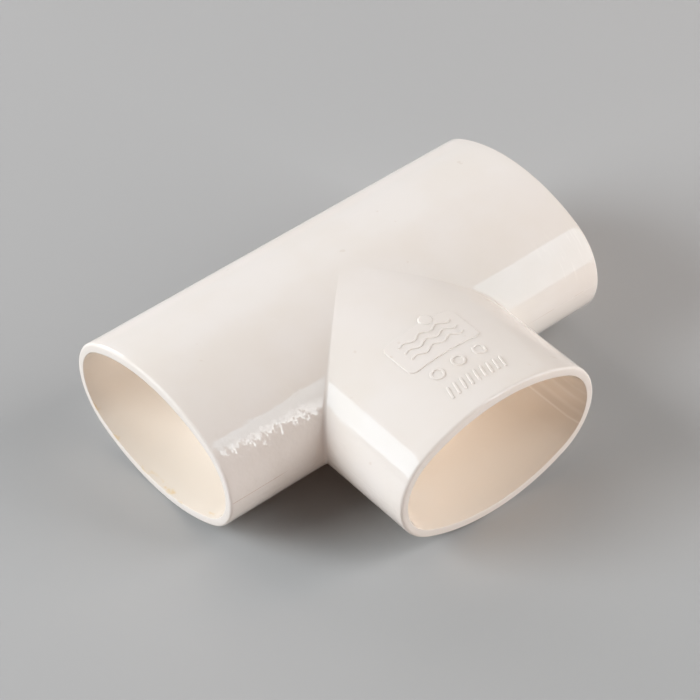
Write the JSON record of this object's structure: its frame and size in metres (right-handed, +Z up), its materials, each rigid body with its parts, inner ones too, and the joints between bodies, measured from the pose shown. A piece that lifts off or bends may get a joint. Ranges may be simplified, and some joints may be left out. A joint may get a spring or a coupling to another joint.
{
  "type": "flat oval pipe tee",
  "caption": "Equal tee for flat oval drain pipe: a straight run with a side branch of the same oval section, and an open socket at each end.",
  "frame": {"origin": "where the axis of the run, the axis of the branch and the upright axis cross, at the middle of the tee", "axes": "X along the run, -Y out of the branch's mouth, +Z up out of the broad marked face"},
  "size_m": [0.127, 0.0965, 0.0431],
  "materials": {
    "body": "glossy ivory moulded PVC",
    "marks": "glossy ivory moulded PVC, raised marks"
  },
  "bodies": {
    "root": {"run_barrel": "body", "branch_barrel": "body", "left_pipe_stop": "body", "right_pipe_stop": "body", "branch_pipe_stop": "body", "mark_panel": "marks", "gate_pad": "marks", "flow_waves": "marks", "ring_row": "marks", "slant_row": "marks"}
  },
  "joints": []
}
